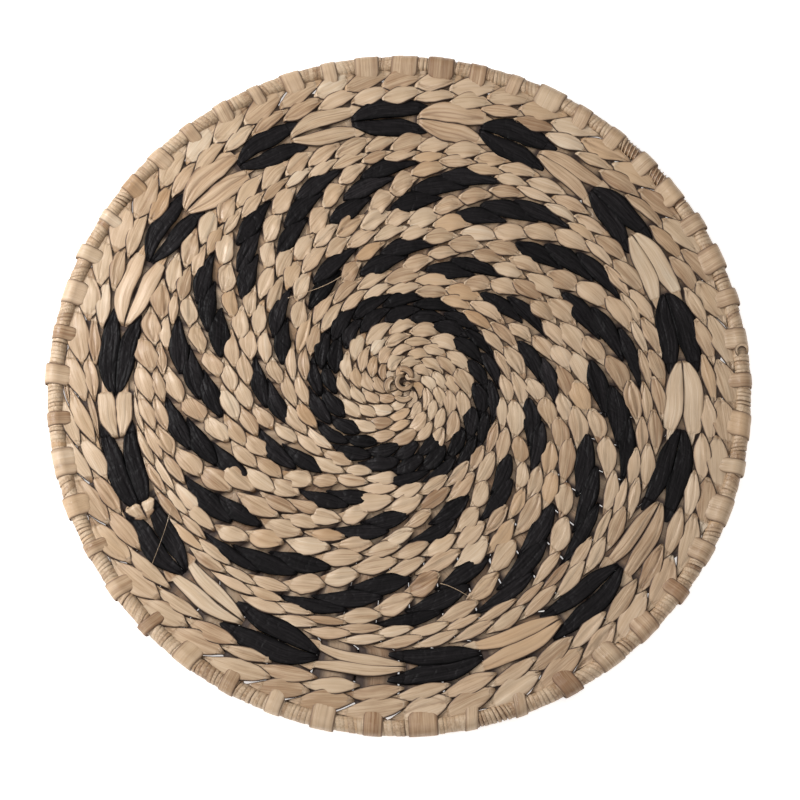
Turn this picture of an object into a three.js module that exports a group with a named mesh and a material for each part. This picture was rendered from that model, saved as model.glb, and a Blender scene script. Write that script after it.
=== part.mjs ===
// Round seat pad twined from flat rush, for a dining chair.
//
// Millimetres, +Z up. The origin is under the centre of the pad, on the plane that it rests on.
//
// How it is made: flat spokes radiate from a rolled knot, and as many again are added outside the
// centre. Pairs of strands are twined round the spokes in one clockwise spiral: at each spoke one
// strand of the pair is above it and the other below, and between two floats the strands change
// places. The spiral is made in bands, and each band is a pair of strands of its own. At the edge a
// core cord, bound with a thin strip, runs round the pad, and each spoke ends in a tab that is
// folded over it.
import * as THREE from 'three';

// Driving dimensions
const PAD_RADIUS = 190; // outside of the rim tabs
const GAP = 0.35; // between neighbouring pieces
const SPOKES = 32; // in all; every other one is added outside the centre band
const SPOKE_WIDTH = 7; // where there is room for it
const SPOKE_SHARE = 0.3; // of the distance between two spokes, where there is less room
const TAB_WIDTH = 12;
const SPOKE_THICKNESS = 1.2;
const STRAND_THICKNESS = 2.4;
const STRAND_LIFT = 3.1; // from the mid plane to a strand's centreline where it crosses a spoke
const SEAM = THREE.MathUtils.degToRad(225); // where each band of the weave ends
const CORE_APOTHEM = 2.4; // the core cord is six-sided
const BINDING_THICKNESS = 0.6;
const TAB_THICKNESS = 1.0;
const KNOT_RADIUS = 5.2;
const KNOT_HEIGHT = 7;

// Bands of the spiral, from the centre out. width is that of one turn, and drift is how far out a
// turn moves in going round once, where that isn't its width. floats are the numbers of spokes that
// the two strands pass over in turn. A band with two rows has two pairs, side by side and twined in
// opposite directions, so that their floats meet in arrow heads.
const NATURAL = { name: 'natural', colour: 0xcaa983 };
const BLACK = { name: 'black', colour: 0x26221f };
const PLAIN = [NATURAL, NATURAL];
const MIXED = [BLACK, NATURAL];
const BANDS = [
  { name: 'centre', turns: 5, width: 6.3, strands: PLAIN, floats: [1, 1] },
  { name: 'black_ring', turns: 2, width: 8.8, strands: [BLACK, BLACK], floats: [1, 1] },
  { name: 'inner_plain', turns: 2, width: 6.7, strands: PLAIN, floats: [1, 1] },
  { name: 'inner_check', turns: 2, width: 9.2, strands: MIXED, floats: [2, 1] },
  { name: 'middle_plain', turns: 2, width: 7.6, strands: PLAIN, floats: [1, 1] },
  { name: 'outer_check', turns: 3, width: 9.0, strands: MIXED, floats: [2, 1] },
  { name: 'outer_plain', turns: 2, width: 7.2, strands: PLAIN, floats: [1, 1] },
  { name: 'chevron', turns: 1, width: 22, drift: 8, strands: MIXED, floats: [2, 2], rows: 2 },
  { name: 'border', turns: 2, width: 8, strands: PLAIN, floats: [1, 1] },
];
const CORE_COLOUR = 0x9c6b49;
const BINDING_COLOUR = 0xc4ab86;

// Worked out from them
const COS30 = Math.cos(Math.PI / 6);
const RIDGE_SPREAD = 0.93 / COS30; // a strand's section is a triangle, flat side down
const BINDING_INNER = CORE_APOTHEM + GAP;
const BINDING_OUTER = BINDING_INNER + BINDING_THICKNESS;
const TAB_INNER = BINDING_OUTER + GAP;
const TAB_OUTER = TAB_INNER + TAB_THICKNESS;
const MID = TAB_OUTER; // height of the mid plane: the tabs' undersides are the lowest faces
const RIM_RADIUS = PAD_RADIUS - TAB_OUTER / COS30; // of the core's centreline
const WEAVE_START = KNOT_RADIUS + 1.2;
const WEAVE_RADIUS = RIM_RADIUS - TAB_OUTER / COS30 - GAP; // outside of the last turn
const RIM_SEGMENTS = 2 * SPOKES;
const CENTRE_SPOKES = SPOKES / 2;
const EARLY_STEPS = 10; // crossings of the first, narrower turn of the centre
const spokeAngle = (turn) => SEAM - 2 * Math.PI * turn;

const pad = new THREE.Group();

function addPiece(name, geometry, colour, roughness = 0.75) {
  const material = new THREE.MeshStandardMaterial({ color: colour, roughness, metalness: 0 });
  const mesh = new THREE.Mesh(geometry, material);
  mesh.name = name;
  pad.add(mesh);
  return mesh;
}

// Bends a box or cylinder that stands along Y, with one segment per unit of height, so that each
// ring of its vertices lies at a station: a centre with the two half-axes of the section there.
function bendAlong(geometry, stations) {
  const position = geometry.getAttribute('position');
  const halfHeight = (stations.length - 1) / 2;
  const point = new THREE.Vector3();
  for (let i = 0; i < position.count; i++) {
    const station = stations[Math.round(position.getY(i) + halfHeight)];
    point.copy(station.centre);
    point.addScaledVector(station.across, position.getX(i));
    point.addScaledVector(station.up, position.getZ(i));
    position.setXYZ(i, point.x, point.y, point.z);
  }
  return geometry;
}

const outward = (angle) => new THREE.Vector3(Math.cos(angle), Math.sin(angle), 0);

// Each turn's inner edge where it starts, outside the first one's, and how far out it has moved
// where it ends. The last entry is the outside of the last turn.
const TURNS = BANDS.flatMap((band) => Array(band.turns).fill(band));
const EDGES = [];
let outside = 0;
for (const band of [...TURNS, BANDS.at(-1)]) {
  EDGES.push({ start: outside, drift: band.drift ?? band.width });
  outside += band.width;
}

// Scales the turns so that the last one ends against the rim, a little narrower than it started.
const LAST_TURN_END = 0.6; // its width there, as a share of what it was
const OUTSIDE = EDGES.at(-1).start + LAST_TURN_END * EDGES.at(-1).drift;
const SCALE = (WEAVE_RADIUS - WEAVE_START) / OUTSIDE;

// The inner edge of a turn where a part of it is done. Before the first full turn it stays at the
// knot.
function edgeAt(turn, part) {
  if (turn < 0) return WEAVE_START;
  const { start, drift } = EDGES[turn];
  return Math.min(WEAVE_START + SCALE * (start + drift * part), WEAVE_RADIUS);
}

// The middle and half-width of one of a turn's rows.
function lane(turn, part, row, rows) {
  const inner = edgeAt(turn, part);
  const width = (edgeAt(turn + 1, part) - inner) / rows;
  return { radius: inner + (row + 0.5) * width, half: width / 2 };
}

// One strand of a pair, numbered 0 or 1. It has a station at each spoke, above or below it, and one
// between two spokes wherever it changes places with the other strand. It is half as wide there.
function makeStrand(band, startTurn, perTurn, row, strand) {
  const rows = band.rows ?? 1;
  const endTurn = Math.ceil(startTurn) + band.turns;
  const steps = (endTurn - startTurn) * perTurn;
  const twist = row === 0 ? 1 : -1;
  const period = band.floats[0] + band.floats[1];
  const sideAt = (step) => {
    const upper = (step + period) % period < band.floats[0] ? 0 : 1;
    return upper === strand ? 1 : -1;
  };
  const stations = [];
  const addStation = (step, offsetSide, height, widthShare, trim) => {
    const done = startTurn + step / perTurn;
    const turn = Math.min(Math.floor(Math.max(done, startTurn)), endTurn - 1);
    const { radius, half } = lane(turn, done - turn, row, rows);
    const angle = spokeAngle(done) - (trim * GAP) / radius;
    const out = outward(angle);
    stations.push({
      centre: out
        .clone()
        .multiplyScalar(radius + (offsetSide * half) / 2)
        .setZ(MID + height),
      across: out.multiplyScalar(-(widthShare * half - GAP / 2) * RIDGE_SPREAD),
      up: new THREE.Vector3(0, 0, STRAND_THICKNESS / 2),
    });
  };
  for (let step = 0; step < steps; step++) {
    const side = sideAt(step);
    const before = sideAt(step - 1);
    if (step === 0) addStation(-0.5, -side * twist, 0, 0.5, 1);
    else if (before !== side) addStation(step - 0.5, before * twist, 0, 0.5, 0);
    addStation(step, 0, side * STRAND_LIFT, 1, 0);
    if (step === steps - 1) addStation(steps - 0.5 * (perTurn / SPOKES), side * twist, 0, 0.5, -1);
  }
  const height = stations.length - 1;
  return bendAlong(new THREE.CylinderGeometry(1, 1, height, 3, height), stations);
}

function addBands() {
  let turn = 0;
  for (const band of BANDS) {
    const startTurn = turn === 0 ? -EARLY_STEPS / CENTRE_SPOKES : turn;
    const perTurn = turn === 0 ? CENTRE_SPOKES : SPOKES;
    const rows = band.rows ?? 1;
    for (let row = 0; row < rows; row++) {
      const rowName = rows === 1 ? '' : ['_inner', '_outer'][row];
      band.strands.forEach((kind, strand) => {
        const twoAlike = band.strands[0] === band.strands[1];
        const strandName = twoAlike ? `strand_${'ab'[strand]}` : `${kind.name}_strand`;
        const geometry = makeStrand(band, startTurn, perTurn, row, strand);
        addPiece(`${band.name}${rowName}_${strandName}`, geometry, kind.colour);
      });
    }
    turn += band.turns;
  }
}

// A point on a hexagon round the core, as [radius, height]. The hexagon's top and bottom are level.
const rimCorner = (apothem, degrees) => [
  RIM_RADIUS + (apothem / COS30) * Math.cos(THREE.MathUtils.degToRad(degrees)),
  MID + (apothem / COS30) * Math.sin(THREE.MathUtils.degToRad(degrees)),
];

// A spoke is a flat strip that lies on the mid plane, rises inside the rim and folds over the bound
// core. It is as wide as the twined strands leave room for.
function makeSpoke(angle, startRadius, centreEnd) {
  const out = outward(angle);
  const side = outward(angle - Math.PI / 2);
  const half = SPOKE_THICKNESS / 2;
  const stations = [];
  // lower and upper are points on the two faces of the strip, as [radius, height].
  const addStation = (lower, upper, width) =>
    stations.push({
      centre: out
        .clone()
        .multiplyScalar((lower[0] + upper[0]) / 2)
        .setZ((lower[1] + upper[1]) / 2),
      across: side.clone().multiplyScalar(width / 2),
      up: out
        .clone()
        .multiplyScalar((upper[0] - lower[0]) / 2)
        .setZ((upper[1] - lower[1]) / 2),
    });
  const addFlat = (radius, neighbours) => {
    const room = (SPOKE_SHARE * 2 * Math.PI * radius) / neighbours;
    addStation([radius, MID - half], [radius, MID + half], Math.min(SPOKE_WIDTH, room));
  };
  if (startRadius < centreEnd) {
    addFlat(startRadius, CENTRE_SPOKES);
    addFlat(0.55 * centreEnd, SPOKES);
  }
  addFlat(Math.max(startRadius, centreEnd), SPOKES);
  addFlat((SPOKE_WIDTH * SPOKES) / (SPOKE_SHARE * 2 * Math.PI), SPOKES);
  addFlat(WEAVE_RADIUS - 2, SPOKES);
  const inside = RIM_RADIUS - TAB_OUTER / COS30;
  const bend = half * Math.tan(Math.PI / 6);
  addStation([inside + TAB_THICKNESS - bend, MID - half], [inside + bend, MID + half], TAB_WIDTH);
  for (const degrees of [120, 60, 0, -60, -120]) {
    addStation(rimCorner(TAB_INNER, degrees), rimCorner(TAB_OUTER, degrees), TAB_WIDTH);
  }
  const height = stations.length - 1;
  return bendAlong(new THREE.BoxGeometry(2, height, 2, 1, height, 1), stations);
}

function addSpokes() {
  for (let i = 0; i < SPOKES; i++) {
    const isAdded = i % 2 === 1;
    const number = String(Math.floor(i / 2) + 1).padStart(2, '0');
    const centreEnd = edgeAt(BANDS[0].turns, i / SPOKES) + 1.5;
    const start = isAdded ? centreEnd : KNOT_RADIUS + GAP;
    const geometry = makeSpoke(spokeAngle(i / SPOKES), start, centreEnd);
    addPiece(`${isAdded ? 'added' : 'main'}_spoke_${number}`, geometry, NATURAL.colour);
  }
}

// A ring with the given section, made of straight lengths. The middle of every other length is at
// a tab.
function ring(section) {
  const stretch = 1 / Math.cos(Math.PI / RIM_SEGMENTS);
  const points = section.map(([radius, height]) => new THREE.Vector2(radius * stretch, height));
  points.push(points[0].clone());
  const geometry = new THREE.LatheGeometry(points, RIM_SEGMENTS).rotateX(Math.PI / 2);
  return geometry.rotateZ(Math.PI / RIM_SEGMENTS);
}

function addRim() {
  const around = [0, 60, 120, 180, 240, 300];
  addPiece('rim_core_cord', ring(around.map((a) => rimCorner(CORE_APOTHEM, a))), CORE_COLOUR, 0.8);
  const open = [-120, -60, 0, 60, 120];
  const outer = open.map((a) => rimCorner(BINDING_OUTER, a));
  const inner = open.map((a) => rimCorner(BINDING_INNER, a)).reverse();
  addPiece('rim_binding', ring([...outer, ...inner]), BINDING_COLOUR);
}

// The rolled start of the weave, which the main spokes spring from.
function addKnot() {
  const half = KNOT_HEIGHT / 2;
  const profile = [
    [0, -half],
    [0.7 * KNOT_RADIUS, -half],
    [KNOT_RADIUS, -0.4 * half],
    [KNOT_RADIUS, 0.4 * half],
    [0.7 * KNOT_RADIUS, half],
    [0, half],
  ].map(([radius, height]) => new THREE.Vector2(radius, height));
  const knot = addPiece('centre_knot', new THREE.LatheGeometry(profile, SPOKES), NATURAL.colour);
  knot.rotation.x = Math.PI / 2;
  knot.position.z = MID;
}

addKnot();
addSpokes();
addBands();
addRim();

export default pad;
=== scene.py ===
"""Round twined seat pad of natural and black husk strip, seen from above its front edge.

Every strand of the weave is one mesh: a flat, creased strip that is swept along the path that it
takes through the pad, over a spoke or two, down between two spokes past its partner, and under the
next. A course is one turn of a spiral, so its radius is a smooth function of how many turns have
been made. Lengths are in metres, and angles go anticlockwise from +X as seen from above.
"""

import math
from collections import namedtuple

import bpy
import numpy as np
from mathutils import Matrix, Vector


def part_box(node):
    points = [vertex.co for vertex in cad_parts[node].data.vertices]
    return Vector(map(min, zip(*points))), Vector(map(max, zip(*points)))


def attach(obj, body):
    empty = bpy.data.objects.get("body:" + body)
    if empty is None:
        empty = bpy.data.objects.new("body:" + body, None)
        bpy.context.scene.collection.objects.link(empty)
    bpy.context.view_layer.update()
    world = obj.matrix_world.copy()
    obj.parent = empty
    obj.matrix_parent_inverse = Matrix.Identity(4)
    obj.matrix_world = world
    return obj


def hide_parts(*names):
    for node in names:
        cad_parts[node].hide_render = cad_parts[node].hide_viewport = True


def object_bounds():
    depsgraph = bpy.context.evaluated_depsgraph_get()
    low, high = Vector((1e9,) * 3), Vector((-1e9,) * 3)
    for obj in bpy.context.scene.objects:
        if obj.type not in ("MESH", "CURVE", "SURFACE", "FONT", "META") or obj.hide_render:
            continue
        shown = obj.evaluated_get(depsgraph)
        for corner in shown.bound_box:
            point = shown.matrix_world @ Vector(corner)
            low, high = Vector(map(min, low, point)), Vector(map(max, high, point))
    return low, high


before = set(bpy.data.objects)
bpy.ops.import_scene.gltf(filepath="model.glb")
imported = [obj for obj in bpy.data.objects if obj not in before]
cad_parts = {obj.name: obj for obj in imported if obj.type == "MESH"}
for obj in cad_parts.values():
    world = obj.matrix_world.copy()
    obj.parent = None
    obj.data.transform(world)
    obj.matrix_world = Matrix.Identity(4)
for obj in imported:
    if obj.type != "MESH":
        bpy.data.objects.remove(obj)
CAD_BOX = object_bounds()

MM = 0.001
TAU = 2 * math.pi
UP = np.array([0.0, 0.0, 1.0])

# The pad's size and the rim's place come from the frame.
RADIUS = (CAD_BOX[1][0] - CAD_BOX[0][0]) / 2
HALF_HEIGHT = (CAD_BOX[1][2] - CAD_BOX[0][2]) / 2
MID = CAD_BOX[0][2] + HALF_HEIGHT
RIM_RADIUS = RADIUS - HALF_HEIGHT  # of the core's centreline
BINDING_RADIUS = 0.93 * HALF_HEIGHT  # of the bound core
WEAVE_RADIUS = RIM_RADIUS - 0.85 * BINDING_RADIUS
OFF_CENTRE = (1.2 * MM, 1.2 * MM)  # from the rim's centre to the spiral's

# The strips
STRIP_HALF_THICKNESS = 1.05 * MM
LIFT = 2.0 * MM  # from the mid plane to a strand's centreline where it crosses a spoke
SPOKE_HALF_THICKNESS = 0.7 * MM
TAB_HALF_THICKNESS = 0.4 * MM
TAB_WIDTH = 11.4 * MM
TAB_SPREAD = (0.6, 1.4)  # widths of the narrowest and the widest tab, as shares of that

# The weave, from the centre out. start is the radius of its first course's inner edge where the band
# starts, as a share of the pad's, and seam the angle where the band ends, in degrees. spokes is how
# many it crosses in a turn, shift moves them round by a share of their spacing, and floats is how
# many the two strands pass over in turn.
Band = namedtuple("Band", "name courses start seam spokes shift strands floats rows")
PLAIN = ("natural", "natural")
DARK = ("black", "black")
MIXED = ("black", "natural")
BANDS = (
    Band("centre", 5, 0.012, 300, 17, 0.0, PLAIN, (1, 1), 1),
    Band("black_ring", 2, 0.168, 256, 18, 0.0, DARK, (1, 1), 1),
    Band("inner_plain", 2, 0.260, 251, 24, 0.2, PLAIN, (1, 1), 1),
    Band("inner_check", 2, 0.326, 236, 38, 0.41, MIXED, (2, 1), 1),
    Band("middle_plain", 2, 0.420, 216, 38, 0.41, PLAIN, (1, 1), 1),
    Band("outer_check", 3, 0.507, 215, 50, 0.79, MIXED, (2, 1), 1),
    Band("outer_plain", 2, 0.665, 208, 50, 0.79, PLAIN, (1, 1), 1),
    Band("chevron", 1, 0.754, 208, 49, 0.81, MIXED, (2, 2), 2),
    Band("border", 2, 0.861, 208, 49, 0.81, PLAIN, (1, 1), 1),
)
CHEVRON = 7  # the place in BANDS of the ring of arrows
CHEVRON_SPLIT = 0.48  # its inner row's share of its width
CHEVRON_FLOATS = (1.9, 1.1) + (2, 2) * 11 + (1.7, 0.3)  # the arrows crowd together at the seam
LAST_PLAIN_PITCHES = (6.5 * MM, 4.7 * MM)  # the two courses that close up on the chevron's ring
BORDER_SPLIT = 0.42  # the inner border course's share of the room
SETTLING = 0.09  # of a turn, in which a course moves out from the one inside it
START_ANGLE = 213  # where the first turn starts, in degrees

# Floats in each turn of the centre, starting one turn early, and the knot's part of them
CENTRE_COUNTS = (5.5, 7.5, 10.5, 13.5, 15.5, 16.5, 17.5)
KNOT_STEPS = (1.5, 9.5)

# Spokes stand closer together on one side than on the other: by how much, and where they are
# sparsest, in degrees, changes with the share of the pad's radius.
CROWDING = (
    (0.45, 0.066, 138),
    (0.50, 0.120, 305),
    (0.72, 0.120, 305),
    (0.76, 0.124, 267),
)

# Seeds of what is left to chance
WEAVE_SEED = 100  # of the centre band, which the others count up from in tens
KNOT_SEED = 90
COIL_SEED = 40  # of the first coil
CURL_SEED = 60
SPOKE_SEED = 500  # of the first spoke
BINDING_SEED = 77


# ---- the spiral


def turned(turns, radius):
    """The angle after so many turns of the spiral, which winds outwards clockwise."""
    even = math.radians(START_ANGLE) - TAU * np.asarray(turns, float)
    places, amounts, sparsest = np.array(CROWDING).T
    sparsest = np.radians(sparsest)
    along = np.interp(radius / RADIUS, places, amounts * np.cos(sparsest))
    aside = np.interp(radius / RADIUS, places, amounts * np.sin(sparsest))
    return even + along * np.sin(even) - aside * np.cos(even)


def band_starts():
    """The number of turns done where each band starts, and where the last one ends."""
    starts = [0.0]
    courses = 0
    for band in BANDS:
        courses += band.courses
        starts.append(courses + (START_ANGLE - band.seam) / 360)
    return starts


STARTS = band_starts()


def spiral_table():
    """Turns done, and the radius of the spiral's inner edge there, as far as the chevron."""
    turns = [-1.0] + STARTS[:CHEVRON]
    radii = [0.4 * MM] + [band.start * RADIUS for band in BANDS[:CHEVRON]]
    for pitch in (*LAST_PLAIN_PITCHES, LAST_PLAIN_PITCHES[-1]):
        turns.append(turns[-1] + 1)
        radii.append(radii[-1] + pitch)
    return np.array(turns), np.array(radii)


SPIRAL_TURNS, SPIRAL_RADII = spiral_table()
CHEVRON_INNER = BANDS[CHEVRON].start * RADIUS
CHEVRON_OUTER = BANDS[CHEVRON + 1].start * RADIUS
BORDER_EDGES = (
    CHEVRON_OUTER,
    CHEVRON_OUTER + BORDER_SPLIT * (WEAVE_RADIUS - CHEVRON_OUTER),
    WEAVE_RADIUS,
)


def smooth(share):
    """0 to 1 with level ends."""
    share = np.clip(share, 0, 1)
    return share * share * (3 - 2 * share)


def settled(turns):
    """Goes up by one in the first part of each turn, from 0 to 2."""
    return smooth(turns / SETTLING) + smooth((turns - 1) / SETTLING)


def lane(number, turns, row=0):
    """Middle radius and width of a row of a band, where so many turns are done."""
    turns = np.asarray(turns, float)
    if number == CHEVRON:
        edges = np.array([0, CHEVRON_SPLIT, 1]) * (CHEVRON_OUTER - CHEVRON_INNER) + CHEVRON_INNER
        inner = np.full_like(turns, edges[row])
        outer = np.full_like(turns, edges[row + 1])
    elif number > CHEVRON:
        done = turns - STARTS[number]
        inner = np.interp(settled(done - 1), (0, 1, 2), BORDER_EDGES)
        outer = np.interp(settled(done), (0, 1, 2), BORDER_EDGES)
    else:
        inner = spiral_edge(turns)
        outer = spiral_edge(turns + 1)
    return (inner + outer) / 2, outer - inner


def spiral_edge(turns):
    """Radius of the spiral's edge, which joins the chevron's ring just after it starts."""
    radius = np.interp(turns, SPIRAL_TURNS, SPIRAL_RADII)
    on_ring = smooth((turns - STARTS[CHEVRON]) / SETTLING)
    return radius + (CHEVRON_INNER - radius) * on_ring


CENTRE_STEPS = np.cumsum((0, *CENTRE_COUNTS))
CENTRE_TURNS = np.arange(len(CENTRE_STEPS)) - 1.0


def next_spoke(band, turns):
    """The number of the first of a band's spokes after so many turns."""
    return math.ceil(turns * band.spokes - band.shift)


def turns_at(number, step):
    """Turns done where a strand of a band has passed so many of its spokes."""
    if number == 0:
        return np.interp(step, CENTRE_STEPS, CENTRE_TURNS)
    band = BANDS[number]
    return (next_spoke(band, STARTS[number]) + step + band.shift) / band.spokes


def step_range(number):
    """The steps where a band's strands start and end."""
    if number == 0:
        return KNOT_STEPS[1], float(np.interp(STARTS[1], CENTRE_TURNS, CENTRE_STEPS))
    band = BANDS[number]
    steps = next_spoke(band, STARTS[number + 1]) - next_spoke(band, STARTS[number])
    if number in (CHEVRON - 1, CHEVRON + 1):
        steps += round(SETTLING * band.spokes)
    return -0.5, steps - 0.5


# ---- meshes

EDGE_BREADTH = 0.9 * MM  # in which painted shade darkens a strip towards its edge
EDGE_SHARE = 0.34  # of a narrow strip's half-width, where that's less


def strip_outline(points):
    """A flat strip's section: across from 1 to -1 over the top and back, and height from -1 to 1."""
    half = points // 2
    turn = np.arange(half) / half
    across = 0.75 * np.cos(math.pi * turn) + 0.25 * (1 - 2 * turn)
    height = (1 - across**8) ** 0.5 * (1 - 0.2 * across**2)
    return np.concatenate([across, -across]), np.concatenate([height, -height])


def swept_mesh(name, rings, uv, values):
    """A closed mesh through rings of vertices, with its ends drawn in. uv holds the place along and
    across the strip at each vertex, in metres, and values the named numbers there."""
    count, points = rings.shape[:2]
    ends = np.stack([rings[0].mean(0), rings[-1].mean(0)])
    vertices = np.concatenate([rings.reshape(-1, 3), ends])
    around = np.arange(points)
    after = (around + 1) % points
    ring = np.arange(count - 1)[:, None] * points
    further = ring + points
    quads = np.stack([ring + around, ring + after, further + after, further + around], axis=-1)
    start = np.full(points, count * points)
    last = (count - 1) * points
    start_fan = np.stack([start, after, around], axis=-1)
    end_fan = np.stack([start + 1, last + around, last + after], axis=-1)
    faces = quads.reshape(-1, 4).tolist() + start_fan.tolist() + end_fan.tolist()
    mesh = bpy.data.meshes.new(name)
    mesh.from_pydata(vertices.tolist(), [], faces)
    mesh.polygons.foreach_set("use_smooth", np.ones(len(faces), bool))
    flat_uv = np.concatenate([uv.reshape(-1, 2), uv[0, :1], uv[-1, :1]])
    corners = np.empty(len(mesh.loops), np.int32)
    mesh.loops.foreach_get("vertex_index", corners)
    mesh.uv_layers.new(name="strip").data.foreach_set("uv", flat_uv[corners].ravel())
    for key, value in values.items():
        each = np.broadcast_to(value, (count, points)).astype(np.float32)
        each = np.concatenate([each.ravel(), each[0, :1], each[-1, :1]])
        mesh.attributes.new(key, "FLOAT", "POINT").data.foreach_set("value", each)
    mesh.update()
    return mesh


def edge_of(x):
    """0 over most of a strip and 1 at its edges, from the places across it: where painted shade
    darkens its edges.
    """
    widest = np.abs(x).max(axis=1, keepdims=True)
    breadth = np.minimum(EDGE_BREADTH, EDGE_SHARE * widest)
    return smooth((np.abs(x) - widest + breadth) / (0.6 * breadth))


def length_along(centre):
    """How far along a line each of its points is."""
    lengths = np.linalg.norm(np.diff(centre, axis=0), axis=1)
    return np.concatenate([[0], np.cumsum(lengths)])


def direction(line):
    """Unit vectors along a line, at each of its points."""
    forward = np.gradient(line, axis=0)
    return forward / np.linalg.norm(forward, axis=1)[:, None]


def sweep_strip(name, centre, lateral, normal, x, z, values):
    """A strip along centre: x is the place across it along lateral, and z its height along normal."""
    rings = centre[:, None, :] + x[..., None] * lateral[:, None, :] + z[..., None] * normal[:, None, :]
    rows = {key: value[:, None] for key, value in values.items() if np.ndim(value) == 1}
    aside = np.abs(x) / np.abs(x).max(axis=1, keepdims=True)
    # edge and aside mark where painted shade darkens a strip along its edges and on its flanks
    values = {"edge": edge_of(x), "aside": aside, **values, **rows}
    uv = np.stack(np.broadcast_arrays(length_along(centre)[:, None], x), axis=-1)
    return swept_mesh(name, rings, uv, values)


def join_meshes(name, meshes):
    """One object made of several meshes."""
    objects = []
    for mesh in meshes:
        part = bpy.data.objects.new(name, mesh)
        bpy.context.scene.collection.objects.link(part)
        objects.append(part)
    if len(objects) > 1:
        with bpy.context.temp_override(active_object=objects[0], selected_editable_objects=objects):
            bpy.ops.object.join()
    return objects[0]


def add_piece(name, meshes, material, slot, *nodes):
    """Makes a piece of the pad, in place of some CAD nodes."""
    piece = join_meshes(name, meshes)
    piece.name = name
    piece.data.name = name
    piece.data.materials.clear()
    piece.data.materials.append(material)
    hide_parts(*nodes)
    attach(piece, "root")


def outwards(angle):
    """Unit vectors away from the pad's middle at these angles."""
    return np.stack([np.cos(angle), np.sin(angle), np.zeros_like(angle)], axis=-1)


def points_at(angle, radius, height):
    """Points of the pad, from their height over its mid plane. The spiral's centre isn't quite the
    rim's."""
    centre = np.array([*OFF_CENTRE, 0])
    drift = np.clip(1 - radius / WEAVE_RADIUS, 0, 1)[:, None] * centre
    return outwards(angle) * radius[:, None] + UP * (MID + height)[:, None] + drift


# ---- strands

# A strand's creases on each float, how broad and how deep they are, the edges of plies on it and how
# high they are, its width and how much that varies, and how much its edges waver. Apart from the two
# counts, all are shares of its size.
Look = namedtuple("Look", "grooves breadth depth plies ply_depth width width_spread ragged")
LOOKS = {
    "natural": Look(6, 0.07, 0.42, 2, 0.26, 1.0, 0.10, 0.05),
    "natural_arm": Look(5, 0.06, 0.20, 2, 0.26, 0.90, 0.14, 0.06),
    "black": Look(5, 0.15, 0.50, 3, 0.24, 0.90, 0.06, 0.055),
    "black_arm": Look(5, 0.15, 0.50, 3, 0.24, 1.0, 0.06, 0.055),
}
SECTION_POINTS = 40
RINGS_PER_SPOKE = 16
LEAST_WIDTH = 1.0 * MM  # of any course
FULL_SPACING = 10 * MM  # of spokes that a full-sized strand needs
FULL_WIDTH = 5 * MM  # of the course that it needs

# A petal is the part of a strand that shows: its float and a little more at each end, where it lies
# beside its partner. It comes up steeply, sinks slowly, and narrows to a point at both ends. Widths
# and sideways moves are shares of the course's width, lengths are in spokes.
LEAD = 0.22  # of a spoke, by which a petal starts before its float
TRAIL = 0.31  # of a spoke, by which it goes on after it
ARM_TRAIL = 0.50  # the same for an arm of an arrow
PETAL_HALF = 0.63
START_STEP = 0.42
END_STEP = 0.44
LEAN_FORWARD = 0.85  # below 1, a petal is widest before its middle
SLIMNESS = 1.3  # above 1, a petal's ends are slim
TIP_HALF = 0.03
HIDDEN_HALF = 0.42
COMES_UP = 0.10  # the share of a petal in which it comes up
SINKS = 0.5  # the share after which it sinks
DIVES = 0.90  # the share after which it dives between the spokes
SUNK = 0.4  # of LIFT, its height there
SHADED = 0.55  # of LIFT, from the mid plane, within which painted shade darkens it
ARM_ROUNDED = 0.42  # the share of an arrow's arm in which it gets its full width
ARM_NARROWS = 0.62  # the share after which it loses it
NOTCH_STARTS = 0.6  # the share after which it parts from the other arm
ARM_TIP = 0.68  # how far its tip is from the other arm
ARM_WIDTH = 1.04
BANK = math.radians(5)  # how far a strand leans to each side along a float
ROLL = math.radians(2.5)  # how far a float leans by chance
WANDER = 0.05  # how far it strays sideways
THICKNESS_SPREAD = 0.1  # how much its thickness varies
TIP_LENGTH = 7 * MM  # in which a strand narrows and dips at each end of its band
TIP_WIDTH = 0.15  # of its width, that it narrows to
TIP_THICKNESS = 0.4  # of its thickness
TIP_DIP = 0.6  # of LIFT, by which its ends lie under the mid plane
PLY_EDGE = 0.04  # of a strip's half-width, in which a ply's edge rises
GATHER = 0.13  # of its thickness, how high it folds where it draws together
OVERRUN = 0.4  # of a spoke, by which a strand runs on past the end of its band
CHEVRON_OVERRUN = 0.22  # the same where the band meets its own start


def crossings(number, limits, random):
    """Where the two strands of a course change places, counted in spokes from the band's first."""
    lengths = CHEVRON_FLOATS if number == CHEVRON else BANDS[number].floats
    places = [limits[0]]
    while places[-1] < limits[1]:
        length = lengths[(len(places) - 1) % len(lengths)]
        places.append(min(places[-1] + length, limits[1]))
    places = np.array(places, float)
    places[1:-1] += random.uniform(-0.10, 0.10, len(places) - 2)
    overrun = CHEVRON_OVERRUN if number == CHEVRON else OVERRUN
    places[0] -= overrun
    places[-1] += overrun
    return places


def petal_places(places, strand, step, trail):
    """How much of its petal a strand has done at each step, and how much of the hidden part after
    it, or before it for the first. Where one is between 0 and 1, the other is 0 or 1."""
    starts = places[strand::2] - LEAD
    ends = np.append(places[strand + 1 :: 2], places[-1] + 1)[: len(starts)] + trail
    if strand:
        starts = np.append(places[0] - 2, starts)
        ends = np.append(places[0] - 1, ends)
    number = np.clip(np.searchsorted(starts, step, side="right") - 1, 0, len(starts) - 1)
    petal = (step - starts[number]) / (ends[number] - starts[number])
    after = np.append(starts[1:], ends[-1] + 1)[number]
    hidden = (step - ends[number]) / np.maximum(after - ends[number], 0.1)
    return np.clip(petal, 0, 1), np.clip(hidden, 0, 1)


def petal_edges(petal, spread):
    """Where a petal's edges are, as shares of the course's width from its middle."""
    reach = PETAL_HALF * spread * np.sin(math.pi * petal**LEAN_FORWARD) ** SLIMNESS
    middle = -START_STEP + (START_STEP + END_STEP) * petal
    return middle - reach, middle + reach


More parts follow.
